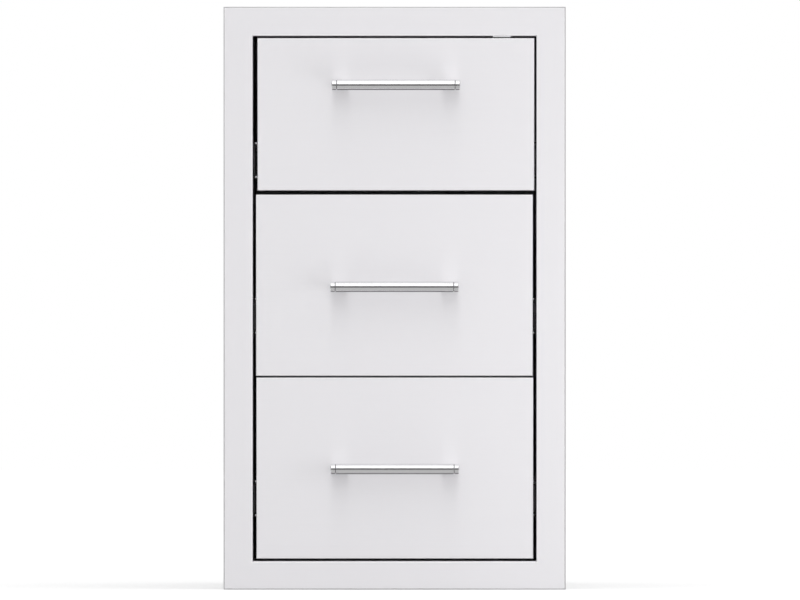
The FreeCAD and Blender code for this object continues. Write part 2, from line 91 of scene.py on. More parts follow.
def pick(sockets, key):
    if isinstance(key, int):
        return sockets[key]
    return next(socket for socket in sockets if key in (socket.identifier, socket.name))


# The nodes of one material or world: every node is made by add
class Nodes:
    def __init__(self, owner):
        owner.use_nodes = True
        self.tree = owner.node_tree
        self.tree.nodes.clear()

    def add(self, kind, settings=None, sockets=None, output=0):
        node = self.tree.nodes.new(kind)
        for name, setting in (settings or {}).items():
            setattr(node, name, setting)
        for key, given in (sockets or {}).items():
            socket = pick(node.inputs, key)
            if isinstance(given, Signal):
                self.tree.links.new(given.socket, socket)
            else:
                socket.default_value = given
        return Signal(self, pick(node.outputs, output)) if node.outputs else None

    def place(self):
        return self.add("ShaderNodeTexCoord", output="Object")

    def axes(self):
        return [self.add("ShaderNodeSeparateXYZ", None, {0: self.place()}, axis) for axis in "XYZ"]

    # Noise whose features measure so many millimetres along x, y and z
    def noise(self, lengths, detail, roughness=0.5):
        scale = [1 / (length * mm) for length in lengths]
        point = self.add("ShaderNodeMapping", None, {"Vector": self.place(), "Scale": scale})
        settings = {"Vector": point, "Scale": 1.0, "Detail": detail, "Roughness": roughness}
        return self.add("ShaderNodeTexNoise", None, settings, "Fac")

    # From the first colour to the second, each a tuple or a Signal
    def mix(self, first, second, factor):
        sockets = {"Factor_Float": factor}
        for key, colour in (("A_Color", first), ("B_Color", second)):
            sockets[key] = colour if isinstance(colour, Signal) else (*colour, 1)
        return self.add("ShaderNodeMix", {"data_type": "RGBA"}, sockets, "Result_Color")

    def bump(self, height, depth):
        return self.add("ShaderNodeBump", None, {"Height": height, "Distance": depth * mm})

    def metal(self, colour, roughness, normal, anisotropy=0.0, turn=0.0, metallic=1.0):
        return self.add("ShaderNodeBsdfPrincipled", None, {
            "Base Color": colour, "Metallic": metallic, "Roughness": roughness, "Normal": normal,
            "Anisotropic": anisotropy, "Anisotropic Rotation": turn})

    def surface(self, shader):
        self.add("ShaderNodeOutputMaterial", None, {"Surface": shader})


def newMaterial(name):
    material = bpy.data.materials.new(name)
    return material, Nodes(material)


black = (0, 0, 0)

# Finishes: sizes and depths are in millimetres, and roughness is that of the smoothest places

brushedSteel = {
    "colour": (0.875, 0.863, 0.887),
    "contrast": 0.12,        # how much darker the deepest marks are
    "cloudShare": 0.2,       # how much of that comes from the waves
    "grainLength": 45,       # along a brush mark, and across it
    "grainWidth": 0.22,
    "grainShare": 0.72,
    "streakLength": 260,     # broader streaks that the belt leaves
    "streakWidth": 1.6,
    "streakShare": 0.28,
    "markDepth": 0.003,
    "cloudSize": 130,        # soft waves in the sheet
    "cloudDepth": 0.05,
    "roughness": 0.34,
    "markRoughness": 0.06,
    "cloudRoughness": 0.02,
    "anisotropy": 1.0,
    "turn": 0.25,            # a quarter turn, so that highlights spread up and down
    "metallic": 0.5,         # the rest is fine satin haze, which scatters light every way
    "polishDepth": 0.25,     # the bends are bare bright metal from here behind the face
    "paintedHighlightColour": (0.985, 0.98, 0.99),
    "paintedHighlightStart": 0.002,      # where a bend starts, a painted highlight: a thin bright line painted into the colour
    "paintedHighlightEnd": 0.16,
    "edgeShadeWidth": 1.6,        # painted shade: the trim's outer bend is painted darker than its face, for the shade the bend shows
    "edgeShadeDepth": 2.4,
    "edgeShadeTone": 0.72,
}


# Fine brush marks and broader streaks that run across or up the sheet
def brushMarks(nodes, look, upright):
    kinds = []
    for kind in ("grain", "streak"):
        length, width = look[kind + "Length"], look[kind + "Width"]
        lengths = (width, width, length) if upright else (length, width, width)
        kinds.append(look[kind + "Share"] * nodes.noise(lengths, detail=3.0, roughness=0.6))
    return kinds[0] + kinds[1]


# The sheet's face, with a painted highlight where its bends start and bare polished metal behind that. A
# tone below 1 is painted shade, from the trim's outer bend
def brushed(nodes, look, marks, polished=1.0, tone=1.0):
    clouds = nodes.noise([look["cloudSize"]] * 3, detail=1.0)
    shine = look["roughness"] + look["markRoughness"] * marks + look["cloudRoughness"] * clouds
    uneven = marks * (1 - look["cloudShare"]) + clouds * look["cloudShare"] - 0.5
    light = tone * (1 + look["contrast"] * uneven)
    behind = nodes.axes()[1] - frameLow.y
    # painted highlight: a thin band where each bend starts is painted near white
    paintedHighlight = (behind > look["paintedHighlightStart"] * mm) * (1 - (behind > look["paintedHighlightEnd"] * mm))
    colour = nodes.mix(nodes.mix(black, look["colour"], light), look["paintedHighlightColour"], paintedHighlight * tone)
    waves = nodes.bump(clouds, look["cloudDepth"])
    normal = nodes.add("ShaderNodeBump", None,
                       {"Height": marks, "Distance": look["markDepth"] * mm, "Normal": waves})
    bent = behind.ramp(look["polishDepth"] * mm)
    metallic = look["metallic"] + (1 - look["metallic"]) * bent * polished
    return nodes.metal(colour, shine, normal, look["anisotropy"], look["turn"], metallic)


def brushedFronts():
    material, nodes = newMaterial("brushedFronts")
    nodes.surface(brushed(nodes, brushedSteel, brushMarks(nodes, brushedSteel, upright=False)))
    return material


# The trim frame's marks run along each border, and its outer bend gets painted shade: a darker band along
# the outer edge
def brushedTrim(low, high, border):
    look = brushedSteel
    material, nodes = newMaterial("brushedTrim")
    x, y, z = nodes.axes()
    fromSide = high.x - abs(x)
    fromEnd = (high.z - low.z) / 2 - abs(z - (low.z + high.z) / 2)
    upright = fromEnd > fromSide
    along = brushMarks(nodes, look, upright=True) * upright
    across = brushMarks(nodes, look, upright=False) * (1 - upright)
    fromEdge = nodes.add("ShaderNodeMath", {"operation": "MINIMUM"}, {0: fromSide, 1: fromEnd})
    outer = 1 - (fromEdge > border / 2)
    # painted shade: a darker band along the outer bend, as a tone that brushed() multiplies into the colour
    edge = 1 - (fromEdge > look["edgeShadeWidth"] * mm)
    edge = edge * (1 - (y - low.y > look["edgeShadeDepth"] * mm))
    tone = 1 - (1 - look["edgeShadeTone"]) * edge
    nodes.surface(brushed(nodes, look, along + across, outer, tone))
    return material


plainSheet = {
    "colour": (0.71, 0.715, 0.72),
    "contrast": 0.10,
    "rollLength": 300,
    "rollWidth": 3,
    "speckle": 0.7,
    "drift": 170,
    "lineTone": 0.35,        # the shares of lines, speckle and drift in the tone
    "speckleTone": 0.25,
    "driftTone": 0.4,
    "depth": 0.25,
    "driftDepth": 0.9,
    "speckleDepth": 0.01,
    "roughness": 0.25,
    "speckleRoughness": 0.06,
    "driftRoughness": 0.08,
    "metallic": 0.72,        # the rest is dull mill haze
}


# Mill-finish sheet: faint roll lines, a fine speckle and a slow drift of tone
def millSheet(name, look, rolled):
    material, nodes = newMaterial(name)
    lengths = [look["rollLength"] if axis == rolled else look["rollWidth"] for axis in "xyz"]
    lines = nodes.noise(lengths, detail=2.0)
    speckle = nodes.noise([look["speckle"]] * 3, detail=2.0, roughness=0.7)
    drift = nodes.noise([look["drift"]] * 3, detail=1.0)
    tone = lines * look["lineTone"] + speckle * look["speckleTone"] + drift * look["driftTone"]
    darker = [channel * (1 - look["contrast"]) for channel in look["colour"]]
    colour = nodes.mix(darker, look["colour"], tone)
    shine = look["roughness"] + look["speckleRoughness"] * speckle + look["driftRoughness"] * drift
    normal = nodes.bump(drift * look["driftDepth"] + speckle * look["speckleDepth"], look["depth"])
    nodes.surface(nodes.metal(colour, shine, normal, metallic=look["metallic"]))
    return material


satinSteel = {
    "colour": (0.86, 0.855, 0.865),
    "contrast": 0.06,
    "marks": (60, 0.25, 0.25),
    "markDepth": 0.003,
    "roughness": 0.11,
    "markRoughness": 0.09,
    "barShadeTone": 0.15,        # painted shade: a dark strip painted low on the front of the bar, where its underside turns away
    "barShadeAngle": 74,         # degrees below the front, then half the strip's width and its soft edge
    "barShadeHalf": 17,
    "barShadeSoft": 5,
}


# The painted shade strip is found by the way its surface faces, which stays the same as a drawer slides
def satinHandle():
    look = satinSteel
    material, nodes = newMaterial("satinHandle")
    marks = nodes.noise(look["marks"], detail=3.0, roughness=0.6)
    normal = nodes.add("ShaderNodeNewGeometry", output="Normal")
    angle = math.radians(look["barShadeAngle"])
    barShadeWay = (0, -math.cos(angle), -math.sin(angle))
    facing = nodes.add("ShaderNodeVectorMath", {"operation": "DOT_PRODUCT"},
                       {0: normal, 1: barShadeWay}, "Value")
    full = math.cos(math.radians(look["barShadeHalf"]))
    start = math.cos(math.radians(look["barShadeHalf"] + look["barShadeSoft"]))
    # painted shade: this mask darkens the strip low on the bar's front
    seam = (facing - start).ramp(full - start)
    tone = (1 - look["contrast"] * (1 - marks)) * (1 - (1 - look["barShadeTone"]) * seam)
    colour = nodes.mix(black, look["colour"], tone)
    shine = look["roughness"] + look["markRoughness"] * marks
    nodes.surface(nodes.metal(colour, shine, nodes.bump(marks, look["markDepth"])))
    return material


blastedSteel = {
    "dull": (0.83, 0.825, 0.835),
    "bright": (0.93, 0.925, 0.935),
    "grain": 0.5,
    "depth": 0.006,
    "roughness": 0.33,
    "grainRoughness": 0.06,
    "metallic": 0.65,
}


# The posts are blasted to an even matt grey before the bar goes on
def blastedPosts():
    look = blastedSteel
    material, nodes = newMaterial("blastedPosts")
    grain = nodes.noise([look["grain"]] * 3, detail=3.0, roughness=0.6)
    colour = nodes.mix(look["dull"], look["bright"], grain)
    shine = look["roughness"] + look["grainRoughness"] * grain
    normal = nodes.bump(grain, look["depth"])
    nodes.surface(nodes.metal(colour, shine, normal, metallic=look["metallic"]))
    return material


zincPlate = {
    "dull": (0.61, 0.625, 0.645),
    "bright": (0.69, 0.705, 0.725),
    "patch": 30,             # cloudy patches of the plating
    "drawn": (3, 300, 3),
    "grain": 1.2,
    "depth": 0.001,
    "roughness": 0.23,
    "patchRoughness": 0.08,
    "grainRoughness": 0.01,
    "metallic": 0.9,
    "endShade": (0.13, 0.13, 0.135),      # painted shade: the front ends are painted near black for the shade deep in the gaps; the cut ends are bare steel
    "endShadeFacing": 0.95,
}


def zincRails():
    look = zincPlate
    material, nodes = newMaterial("zincRails")
    patches = nodes.noise([look["patch"]] * 3, detail=1.0)
    grain = nodes.noise([look["grain"]] * 3, detail=1.0)
    drawn = nodes.noise(look["drawn"], detail=1.0)
    plated = nodes.mix(look["dull"], look["bright"], patches * 0.5 + drawn * 0.5)
    # painted shade: faces that point to the front are painted near black
    facing = nodes.add("ShaderNodeNewGeometry", output="Normal")
    forward = 0 - nodes.add("ShaderNodeSeparateXYZ", None, {0: facing}, "Y")
    colour = nodes.mix(plated, look["endShade"], forward > look["endShadeFacing"])
    shine = look["roughness"] + look["patchRoughness"] * patches + look["grainRoughness"] * grain
    normal = nodes.bump(grain, look["depth"])
    nodes.surface(nodes.metal(colour, shine, normal, metallic=look["metallic"]))
    return material


# Small metal pieces: two tones, the size of their speckle and how rough they are
smallMetals = {
    "cageStrip": {"dull": (0.40, 0.41, 0.42), "bright": (0.56, 0.57, 0.58),
                  "grain": 0.6, "roughness": 0.30},
    "ballSteel": {"dull": (0.66, 0.67, 0.69), "bright": (0.80, 0.81, 0.82),
                  "grain": 0.4, "roughness": 0.06},
    "screwSteel": {"dull": (0.52, 0.52, 0.52), "bright": (0.68, 0.68, 0.67),
                   "grain": 0.5, "roughness": 0.23},
    "rivetSteel": {"dull": (0.58, 0.58, 0.59), "bright": (0.74, 0.74, 0.75),
                   "grain": 0.8, "roughness": 0.25},
}
speckledMetal = {"depth": 0.008, "grainRoughness": 0.07}


def smallMetal(name):
    look = smallMetals[name]
    material, nodes = newMaterial(name)
    grain = nodes.noise([look["grain"]] * 3, detail=3.0, roughness=0.6)
    colour = nodes.mix(look["dull"], look["bright"], grain)
    shine = look["roughness"] + speckledMetal["grainRoughness"] * grain
    nodes.surface(nodes.metal(colour, shine, nodes.bump(grain, speckledMetal["depth"])))
    return material


softMaterials = {
    "blackRubber": {"dull": (0.022, 0.022, 0.023), "bright": (0.05, 0.05, 0.052),
                    "grain": 0.5, "roughness": 0.57},
    "latchPlastic": {"dull": (0.018, 0.018, 0.019), "bright": (0.035, 0.035, 0.036),
                     "grain": 0.3, "roughness": 0.33},
    "greyPad": {"dull": (0.50, 0.50, 0.51), "bright": (0.64, 0.64, 0.65),
                "grain": 0.7, "roughness": 0.65},
}
softGrain = {"depth": 0.05, "smear": 14, "smearTone": 0.4, "smearRoughness": 0.1}


def softMaterial(name):
    look = softMaterials[name]
    material, nodes = newMaterial(name)
    grain = nodes.noise([look["grain"]] * 3, detail=4.0, roughness=0.7)
    smears = nodes.noise([softGrain["smear"]] * 3, detail=2.0)
    tone = grain * (1 - softGrain["smearTone"]) + smears * softGrain["smearTone"]
    nodes.surface(nodes.add("ShaderNodeBsdfPrincipled", None, {
        "Base Color": nodes.mix(look["dull"], look["bright"], tone),
        "Roughness": look["roughness"] + softGrain["smearRoughness"] * smears,
        "Normal": nodes.bump(grain, softGrain["depth"])}))
    return material


finishes = {
    "trim_frame": brushedTrim(frameLow, frameHigh, trimBorder),
    "front_skin": brushedFronts(),
    "panel_sheet": millSheet("cabinetSheet", plainSheet, "z"),
    "tray_sheet": millSheet("traySheet", {**plainSheet, "colour": (0.75, 0.755, 0.76)}, "y"),
    "handle": satinHandle(),
    "post": blastedPosts(),
    "slide_rail": zincRails(),
    "ball_cage": smallMetal("cageStrip"),
    "ball": smallMetal("ballSteel"),
    "screw": smallMetal("screwSteel"),
    "rivet": smallMetal("rivetSteel"),
    "rubber": softMaterial("blackRubber"),
    "gap_pad": softMaterial("greyPad"),
    "latch": softMaterial("latchPlastic"),
}
slotOf = {row["node"]: row["material_slot"] for row in frame["record"]["subparts"]}
for node, piece in frame["nodes"].items():
    finish = finishes[slotOf[node]]
    piece.data.materials.clear()
    piece.data.materials.append(finish)
print("finishes:", len(finishes), "on", len(frame["nodes"]), "nodes")


# Turns a bmesh into a piece of the object: it rides on a body and may stand for CAD nodes
def addPiece(bm, name, body, finish, replaced=(), sharpAngle=35):
    mesh = bpy.data.meshes.new(name)
    bm.normal_update()
    bm.to_mesh(mesh)
    bm.free()
    mesh.polygons.foreach_set("use_smooth", [True] * len(mesh.polygons))
    mesh.set_sharp_from_angle(angle=math.radians(sharpAngle))
    mesh.materials.append(finish)
    piece = bpy.data.objects.new(name, mesh)
    bpy.context.scene.collection.objects.link(piece)
    evened = piece.modifiers.new("evenShading", "WEIGHTED_NORMAL")
    evened.keep_sharp = True
    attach(piece, body)
    if replaced:
        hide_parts(*replaced)


flatAngle = math.radians(0.2)      # faces that turn less than this are one face


# A merged copy of a CAD node, whose bends then shade smoothly
def smoothCopy(node, name, body, finish=None):
    bm = bmesh.new()
    bm.from_mesh(frame["nodes"][node].data)
    bmesh.ops.remove_doubles(bm, verts=bm.verts, dist=sameSpot)
    bmesh.ops.dissolve_limit(bm, angle_limit=flatAngle, verts=bm.verts, edges=bm.edges)
    bmesh.ops.triangulate(bm, faces=[face for face in bm.faces if len(face.verts) > 4])
    slotName = slotOf[node]
    addPiece(bm, name, body, finishes[finish or slotName], [node])


smoothCopy("face_frame", "trimFrame", "cabinet")
for drawer in drawers:
    smoothCopy(f"{drawer}_front_pan", f"{drawer}FrontSkin", f"{drawer}_drawer")
print("trim frame and front skins: smooth bends")


# Handles: the bars and caps are turned, and the posts are smooth copies

handle = {
    "rounds": 64,
    "capRadius": 6.5 * mm,
    "capCorner": 1.3 * mm,
    "seamDepth": 0.85 * mm,      # of the groove between bar and cap
    "seamWidth": 0.57 * mm,      # of each of its two sides
}


# A solid of revolution about the X axis: profile points are (x, radius)
def turned(bm, profile, centre, rounds):
    points = [bm.verts.new((x, centre.y, centre.z + radius)) for x, radius in profile]
    edges = [bm.edges.new(pair) for pair in zip(points, points[1:])]
    bmesh.ops.spin(bm, geom=points + edges, cent=centre, axis=(1, 0, 0), angle=math.tau,
                   steps=rounds, use_merge=True)
    bmesh.ops.remove_doubles(bm, verts=bm.verts, dist=sameSpot)


def roundedCorner(x, radius, corner, outward, steps=5):
    turns = [math.pi / 2 * step / steps for step in range(steps + 1)]
    return [(x - outward * corner * (1 - math.sin(turn)), radius - corner * (1 - math.cos(turn)))
            for turn in turns]


def makeHandle(drawer):
    low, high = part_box(f"{drawer}_handle_bar")
    endLow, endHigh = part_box(f"{drawer}_handle_caps")
    centre = (low + high) / 2
    barRadius = (high.z - low.z) / 2
    seam, groove = handle["seamWidth"], handle["seamDepth"]
    bm = bmesh.new()
    turned(bm, [(low.x, 0), (low.x, barRadius - groove), (low.x + seam, barRadius),
                (high.x - seam, barRadius), (high.x, barRadius - groove), (high.x, 0)],
           centre, handle["rounds"])
    bmesh.ops.recalc_face_normals(bm, faces=bm.faces)
    addPiece(bm, f"{drawer}HandleBar", f"{drawer}_drawer", finishes["handle"],
             [f"{drawer}_handle_bar"])

    bm = bmesh.new()
    radius = handle["capRadius"]
    for inner, outer, outward in ((low.x, endLow.x, -1), (high.x, endHigh.x, 1)):
        profile = [(inner, 0), (inner, radius - groove), (inner + outward * seam, radius)]
        profile += roundedCorner(outer, radius, handle["capCorner"], outward) + [(outer, 0)]
        turned(bm, profile, centre, handle["rounds"])
    bmesh.ops.recalc_face_normals(bm, faces=bm.faces)
    addPiece(bm, f"{drawer}HandleCaps", f"{drawer}_drawer", finishes["handle"],
             [f"{drawer}_handle_caps"])


for drawer in drawers:
    makeHandle(drawer)
    smoothCopy(f"{drawer}_handle_posts", f"{drawer}HandlePosts", f"{drawer}_drawer", "post")
print("handles: bars, caps and posts")


# Balls: a row of them in each flange of each cage

balls = {
    "radius": 1.6 * mm,
    "perRow": 11,
    "endGap": 8 * mm,
    "cageGauge": 0.6 * mm,
    "fromWall": {"outer": 5.2 * mm, "inner": 8 * mm},
}


def makeBalls(drawer, kind):
    low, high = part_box(f"{drawer}_{kind}_cages")
    bm = bmesh.new()
    halfGauge = balls["cageGauge"] / 2
    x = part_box(f"{drawer}_right_outer_rail")[1].x - balls["fromWall"][kind]
    first, last = low.y + balls["endGap"], high.y - balls["endGap"]
    for side in bothSides.values():
        for height in (low.z + halfGauge, high.z - halfGauge):
            for count in range(balls["perRow"]):
                y = first + count / (balls["perRow"] - 1) * (last - first)
                at = Matrix.Translation((side * x, y, height))
                bmesh.ops.create_icosphere(bm, subdivisions=2, radius=balls["radius"], matrix=at)
    addPiece(bm, f"{drawer}{kind.capitalize()}Balls", f"{drawer}_{kind}_cage_pair",
             finishes["ball"], sharpAngle=60)


for drawer in drawers:
    for kind in ("outer", "inner"):
        makeBalls(drawer, kind)


# Stops: a bright rolled bead at the front of each curled edge keeps the balls in the outer rail

railStops = {
    "radius": 1.4 * mm,
    "length": 3.2 * mm,
    "corner": 0.5 * mm,
    "rounds": 20,
    "fromTip": 2.9 * mm,     # from the curled edge's tip, across
    "ahead": 0.4 * mm,       # of the rail's front end
}


def makeStops():
    bm = bmesh.new()
    radius = railStops["radius"]
    lying = Matrix.Rotation(math.pi / 2, 4, "Y")
    for drawer in drawers:
        for name, side in bothSides.items():
            low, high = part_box(f"{drawer}_{name}_outer_rail")
            x = min(abs(low.x), abs(high.x)) + railStops["fromTip"]
            for z in (low.z + radius, high.z - radius):
                at = Matrix.Translation((side * x, low.y - railStops["ahead"], z))
                bmesh.ops.create_cone(bm, cap_ends=True, segments=railStops["rounds"], radius1=radius,
                                      radius2=radius, depth=railStops["length"], matrix=at @ lying)
    rims = [edge for edge in bm.edges if any(len(face.verts) > 4 for face in edge.link_faces)]
    bmesh.ops.bevel(bm, geom=rims, offset=railStops["corner"], affect="EDGES", segments=3, profile=0.5,
                    material=-1)
    addPiece(bm, "railStops", "cabinet", finishes["ball"])


makeStops()
print("slides: balls in their cages, and stops")


# Heads of rivets and screws: a low dome round a dimple or round a hexagon socket

rivet = {
    "radius": 3.2 * mm,
    "height": 1.0 * mm,
    "mouth": 1.1 * mm,       # radius of the dimple or socket
    "mouthSides": 16,
    "brim": 1.2,             # the flat top's radius, against the mouth's
    "depth": 0.5 * mm,
    "rounds": 16,            # faces round the head, and from its edge to its top
    "steps": 4,
    "sunk": 0.1 * mm,        # how far it reaches into the sheet
}
buttonScrew = {
    "radius": 4.4 * mm,
    "height": 2.3 * mm,
    "mouth": 1.6 * mm,
    "mouthSides": 6,
    "brim": 1.25,
    "depth": 1.4 * mm,
    "rounds": 24,
    "steps": 5,
    "sunk": 0.1 * mm,
}
flushRivet = {**rivet, "height": 0.2 * mm, "depth": 0.15 * mm}
railScrew = {**buttonScrew, "radius": 4.0 * mm, "height": 1.6 * mm, "depth": 1.0 * mm}


# One head at the origin, pointing along +Z
def makeHead(look):
    head = bmesh.new()
    height, brim = look["height"], look["mouth"] * look["brim"]
    turns = [math.pi / 2 * step / look["steps"] for step in range(look["steps"] + 1)]
    profile = [(look["radius"], -look["sunk"])]
    profile += [(brim + (look["radius"] - brim) * math.cos(turn), height * math.sin(turn)) for turn in turns]
    points = [head.verts.new((across, 0, up)) for across, up in profile]
    edges = [head.edges.new(pair) for pair in zip(points, points[1:])]
    bmesh.ops.spin(head, geom=points + edges, cent=(0, 0, 0), axis=(0, 0, 1), angle=math.tau,
                   steps=look["rounds"], use_merge=True)
    bmesh.ops.remove_doubles(head, verts=head.verts, dist=sameSpot)
    openEdges = [edge for edge in head.edges if edge.is_boundary]
    brimEdges = [edge for edge in openEdges if edge.verts[0].co.z > 0]
    bmesh.ops.contextual_create(head, geom=[edge for edge in openEdges if edge.verts[0].co.z < 0])
    ring = bmesh.ops.create_circle(head, segments=look["mouthSides"], radius=look["mouth"],
                                   matrix=Matrix.Translation((0, 0, height)))["verts"]
    mouthEdges = list({edge for point in ring for edge in point.link_edges})
    bmesh.ops.bridge_loops(head, edges=brimEdges + mouthEdges)
    pit = bmesh.ops.extrude_edge_only(head, edges=mouthEdges)["geom"]
    pitPoints = [item for item in pit if isinstance(item, bmesh.types.BMVert)]
    bmesh.ops.translate(head, vec=(0, 0, -look["depth"]), verts=pitPoints)
    rim = {edge for point in pitPoints for edge in point.link_edges if edge.is_boundary}
    bmesh.ops.contextual_create(head, geom=list(rim))
    bmesh.ops.recalc_face_normals(head, faces=head.faces)
    return head


def heads(spots, look):
    bm = bmesh.new()
    for place, outward in spots:
        head = makeHead(look)
        turn = Vector(outward).to_track_quat("Z", "Y").to_matrix().to_4x4()
        bmesh.ops.transform(head, matrix=Matrix.Translation(place) @ turn, verts=head.verts)
        scrap = bpy.data.meshes.new("scrap")
        head.to_mesh(scrap)
        head.free()
        bm.from_mesh(scrap)
        bpy.data.meshes.remove(scrap)
    return bm


cabinetRivets = {
    "flange": 7 * mm,        # how far in from the panels' edges
    "upBack": (0.08, 0.36, 0.64, 0.92),
    "alongSides": (0.06, 0.35, 0.65, 0.94),
}


def sideRivetSpots():
    low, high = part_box("top_panel")
    flange = cabinetRivets["flange"]
    heights = (low.z + flange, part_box("bottom_panel")[1].z - flange)
    return [(Vector((side * high.x, low.y + share * (high.y - low.y), height)), (side, 0, 0))
            for side in bothSides.values() for share in cabinetRivets["alongSides"] for height in heights]


def backRivetSpots():
    low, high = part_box("back_panel")
    x = high.x - cabinetRivets["flange"]
    return [(Vector((side * x, high.y, low.z + share * (high.z - low.z))), (0, 1, 0))
            for side in bothSides.values() for share in cabinetRivets["upBack"]]


trayJoints = {
    "gauge": 1 * mm,
    "screwFromMiddle": 112 * mm,     # screws that hold the front to the tray
    "screwFromEnds": 26 * mm,
    "rivetFromBack": 7 * mm,         # rivets through the flanges of the tray's back
    "rivetShares": (0.1, 0.37, 0.64, 0.9),
    "rivetClear": 28 * mm,           # no rivet so near the middle of the slide
}


def trayScrewSpots(drawer):
    low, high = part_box(f"{drawer}_tray")
    y = low.y + trayJoints["gauge"]
    fromEnds = trayJoints["screwFromEnds"]
    return [(Vector((side * trayJoints["screwFromMiddle"], y, z)), (0, 1, 0))
            for side in bothSides.values() for z in (low.z + fromEnds, high.z - fromEnds)]


def trayRivetSpots(drawer):
    low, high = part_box(f"{drawer}_tray")
    railLow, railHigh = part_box(f"{drawer}_right_inner_rail")
    slide = (railLow.z + railHigh.z) / 2
    heights = [low.z + share * (high.z - low.z) for share in trayJoints["rivetShares"]]
    return [(Vector((side * high.x, high.y - trayJoints["rivetFromBack"], z)), (side, 0, 0))
            for side in bothSides.values() for z in heights if abs(z - slide) > trayJoints["rivetClear"]]


railScrews = {"gauge": 1.2 * mm, "places": (0.07, 0.46, 0.93)}


def railScrewSpots(drawer):
    spots = []
    for name, side in bothSides.items():
        low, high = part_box(f"{drawer}_{name}_inner_rail")
        web = (low.x if side > 0 else high.x) + side * railScrews["gauge"]
        for share in railScrews["places"]:
            y = low.y + share * (high.y - low.y)
            spots.append((Vector((web, y, (low.z + high.z) / 2)), (side, 0, 0)))
    return spots


addPiece(heads(sideRivetSpots(), rivet), "sideRivets", "cabinet", finishes["rivet"])
addPiece(heads(backRivetSpots(), flushRivet), "backRivets", "cabinet", finishes["rivet"])
for drawer in drawers:
    for what, spots, look, slotName, finish in (
            ("TrayScrews", trayScrewSpots(drawer), buttonScrew, "screw", "screw"),
            ("TrayRivets", trayRivetSpots(drawer), rivet, "tray_sheet", "rivet"),
            ("RailScrews", railScrewSpots(drawer), railScrew, "screw", "screw")):
        addPiece(heads(spots, look), drawer + what, f"{drawer}_drawer", finishes[finish])
print("rivets and screws: cabinet, trays and rails")


# Latches: a springy black lever in each drawer rail, pressed to lift the drawer out

latch = {
    "start": 0.26,             # share of the rail's length
    "gauge": 1.6 * mm,
    "railGauge": 1.2 * mm,
    "corner": 0.5 * mm,
    "outline": ((0, -4), (46, -4), (54, -8), (74, -8), (76, -6),     # millimetres along and up
                (76, -3.5), (58, 1), (52, 4), (0, 4), (-3, 0)),
    "tabFrom": 60 * mm,        # the finger tab stands out beyond here
    "tabReach": 1.6 * mm,
}


def makeLatches(drawer):
    bm = bmesh.new()
    for name, side in bothSides.items():
        low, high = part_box(f"{drawer}_{name}_inner_rail")
        web = (low.x if side > 0 else high.x) + side * latch["railGauge"]
        start = low.y + latch["start"] * (high.y - low.y)
        middle = (low.z + high.z) / 2
        points = [bm.verts.new((web, start + along * mm, middle + up * mm))
                  for along, up in latch["outline"]]
        plate = bm.faces.new(points)
        raised = bmesh.ops.extrude_face_region(bm, geom=[plate], use_keep_orig=True)["geom"]
        top = [item for item in raised if isinstance(item, bmesh.types.BMVert)]
        bmesh.ops.translate(bm, vec=(side * latch["gauge"], 0, 0), verts=top)
        tab = [point for point in top if point.co.y > start + latch["tabFrom"]]
        bmesh.ops.translate(bm, vec=(side * latch["tabReach"], 0, 0), verts=tab)
        rim = [edge for edge in bm.edges if all(point in top for point in edge.verts)]
        bmesh.ops.bevel(bm, geom=rim, offset=latch["corner"], affect="EDGES", segments=2, profile=0.5,
                        material=-1)
    bmesh.ops.triangulate(bm, faces=[face for face in bm.faces if len(face.verts) > 4])
    bmesh.ops.recalc_face_normals(bm, faces=bm.faces)
    addPiece(bm, f"{drawer}Latches", f"{drawer}_drawer", finishes["latch"])


for drawer in drawers:
    makeLatches(drawer)
print("slides: latches")


# Studio: a plain pale floor, a white surround, soft lamps and grey cards that the metal reflects

studio = {
    "cameraDistance": 20.0,
    "pixelSize": 1.2629 * mm,          # at the face of the trim frame
    "objectMiddle": (394.6, 298.2),    # of the photograph's 800 by 600 pixels
    "imageSize": (800, 600),
    "sensor": 36.0,
    "farthest": 100,
    "floorRadius": 14.0,
    "floorPaint": 0.9,
    "floorGlow": 0.2,        # keeps the floor pale where the camera and glass see it
    "surround": 0.95,        # the world's level, and white where it is seen
}


def makeCamera():
    middle = (frameLow + frameHigh) / 2
    wide, high = studio["imageSize"]
    across, down = studio["objectMiddle"]
    x = middle.x - (across - wide / 2) * studio["pixelSize"]
    z = middle.z + (down - high / 2) * studio["pixelSize"]
    lens = bpy.data.cameras.new("camera")
    lens.sensor_width = studio["sensor"]
    lens.lens = studio["sensor"] * studio["cameraDistance"] / (wide * studio["pixelSize"])
    lens.clip_end = studio["farthest"]
    camera = bpy.data.objects.new("camera", lens)
    camera.location = (x, frameLow.y - studio["cameraDistance"], z)
    camera.rotation_euler = (math.pi / 2, 0, 0)
    bpy.context.scene.collection.objects.link(camera)
    bpy.context.scene.camera = camera


# Where a lamp or card stands: seen from the middle of the unit, azimuth 0 is the camera's side and
# 90 its right, and elevation is above the horizon
def studioPlace(look):
    azimuth, elevation = math.radians(look["azimuth"]), math.radians(look["elevation"])
    direction = Vector((math.sin(azimuth) * math.cos(elevation), -math.cos(azimuth) * math.cos(elevation),
                        math.sin(elevation)))
    centre = Vector((0, 0, (frameLow.z + frameHigh.z) / 2))
    turn = direction.to_track_quat("Z", "Y").to_matrix().to_4x4()
    return Matrix.Translation(centre + direction * look["distance"]) @ turn


# The lamp over the front gives the bars their highlight, and the other two light the satin sheet.
# A level is how bright the face of a lamp or card is, against 1 for white
lamps = {
    "overFront": {"azimuth": 0, "elevation": 42, "distance": 6.0, "size": (12.0, 7.5), "level": 0.4,
                  "lights": False},
    "frontFill": {"azimuth": 0, "elevation": 3, "distance": 6.0, "size": (1.2, 1.2), "level": 12.0,
                  "shines": False},
    "lowRight": {"azimuth": 50, "elevation": -12, "distance": 1.0, "size": (0.6, 0.6), "level": 3.0,
                 "shines": False},
}


